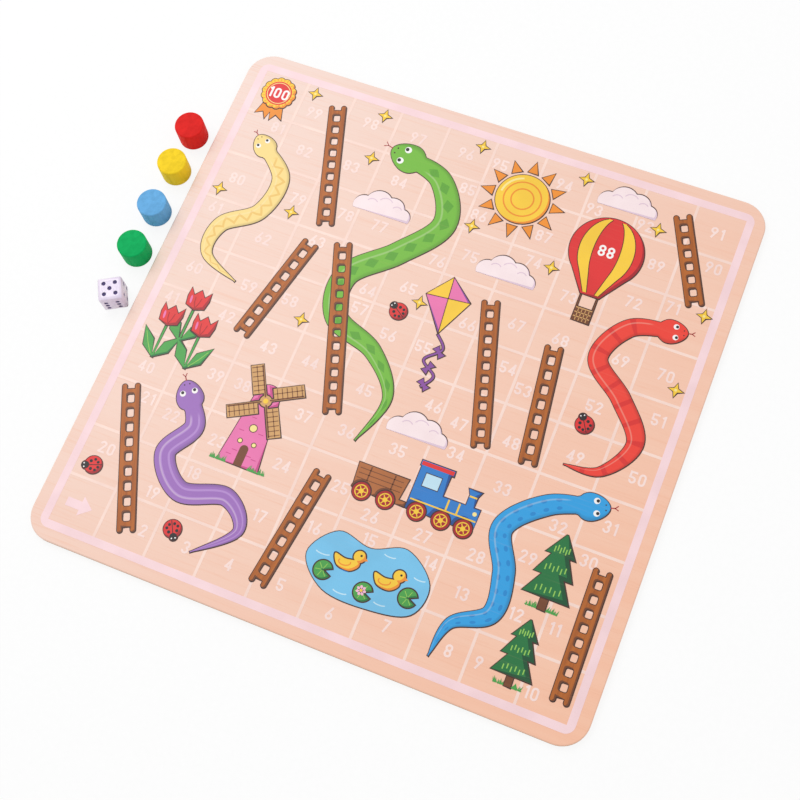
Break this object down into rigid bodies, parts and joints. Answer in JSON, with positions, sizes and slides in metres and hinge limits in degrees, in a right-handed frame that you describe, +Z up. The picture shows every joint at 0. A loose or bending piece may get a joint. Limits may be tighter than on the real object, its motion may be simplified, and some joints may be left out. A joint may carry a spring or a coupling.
{
  "type": "snakes and ladders board game",
  "caption": "Square plywood snakes and ladders board with a printed face, wooden counters and a die beside it.",
  "frame": {"origin": "middle of the panel's underside", "axes": "+X from square 1 to square 10, +Y from the first row to the last, +Z up out of the face"},
  "size_m": [0.3741, 0.35, 0.016],
  "materials": {
    "plywood_face": "satin lacquer over a peach stain",
    "plywood_core": "sawn edge",
    "plywood_back": "sanded",
    "counter_red": "satin paint",
    "counter_yellow": "satin paint",
    "counter_blue": "satin paint",
    "counter_green": "satin paint",
    "die_white": "gloss paint",
    "spot_black": "matt paint",
    "ink_white": "satin ink film",
    "ink_brown": "satin ink film",
    "ink_green": "satin ink film",
    "ink_dark_green": "satin ink film",
    "ink_red": "satin ink film",
    "ink_blue": "satin ink film",
    "ink_yellow": "satin ink film",
    "ink_orange": "satin ink film",
    "ink_purple": "satin ink film",
    "ink_pink": "satin ink film"
  },
  "bodies": {
    "board": {"back_ply": "plywood_back", "core_ply": "plywood_core", "face_ply": "plywood_face", "border_line": "ink_white", "grid_lines": "ink_white", "square_numbers": "ink_white", "start_arrow": "ink_white", "figure_numbers": "ink_white", "clouds": "ink_white", "ladder_1": "ink_brown", "ladder_2": "ink_brown", "ladder_3": "ink_brown", "ladder_4": "ink_brown", "ladder_5": "ink_brown", "ladder_6": "ink_brown", "ladder_7": "ink_brown", "ladder_8": "ink_brown", "ladder_9": "ink_brown", "windmill_sails": "ink_brown", "pine_trunks": "ink_brown", "balloon_basket": "ink_brown", "wagon": "ink_brown", "green_snake": "ink_green", "lily_pads": "ink_green", "tulip_leaves": "ink_green", "pines": "ink_dark_green", "red_snake": "ink_red", "balloon": "ink_red", "tulip_heads": "ink_red", "engine_wheels": "ink_red", "ladybirds": "ink_red", "blue_snake": "ink_blue", "pond": "ink_blue", "engine": "ink_blue", "yellow_snake": "ink_yellow", "sun": "ink_yellow", "ducks": "ink_yellow", "sparkles": "ink_yellow", "rosette": "ink_yellow", "sun_rays": "ink_orange", "rosette_ribbons": "ink_orange", "purple_snake": "ink_purple", "kite_tail": "ink_purple", "kite": "ink_pink", "windmill_tower": "ink_pink"},
    "red_counter": {"red_counter": "counter_red"},
    "yellow_counter": {"yellow_counter": "counter_yellow"},
    "blue_counter": {"blue_counter": "counter_blue"},
    "green_counter": {"green_counter": "counter_green"},
    "die": {"die_cube": "die_white", "die_spots": "spot_black"}
  },
  "joints": [
    {"name": "red_counter_lift", "type": "slide", "parent": "board", "child": "red_counter", "axis": [0, 0, 1], "range_m": [0, 0.06]},
    {"name": "yellow_counter_lift", "type": "slide", "parent": "board", "child": "yellow_counter", "axis": [0, 0, 1], "range_m": [0, 0.06]},
    {"name": "blue_counter_lift", "type": "slide", "parent": "board", "child": "blue_counter", "axis": [0, 0, 1], "range_m": [0, 0.06]},
    {"name": "green_counter_lift", "type": "slide", "parent": "board", "child": "green_counter", "axis": [0, 0, 1], "range_m": [0, 0.06]},
    {"name": "die_lift", "type": "slide", "parent": "board", "child": "die", "axis": [0, 0, 1], "range_m": [0, 0.06]}
  ]
}
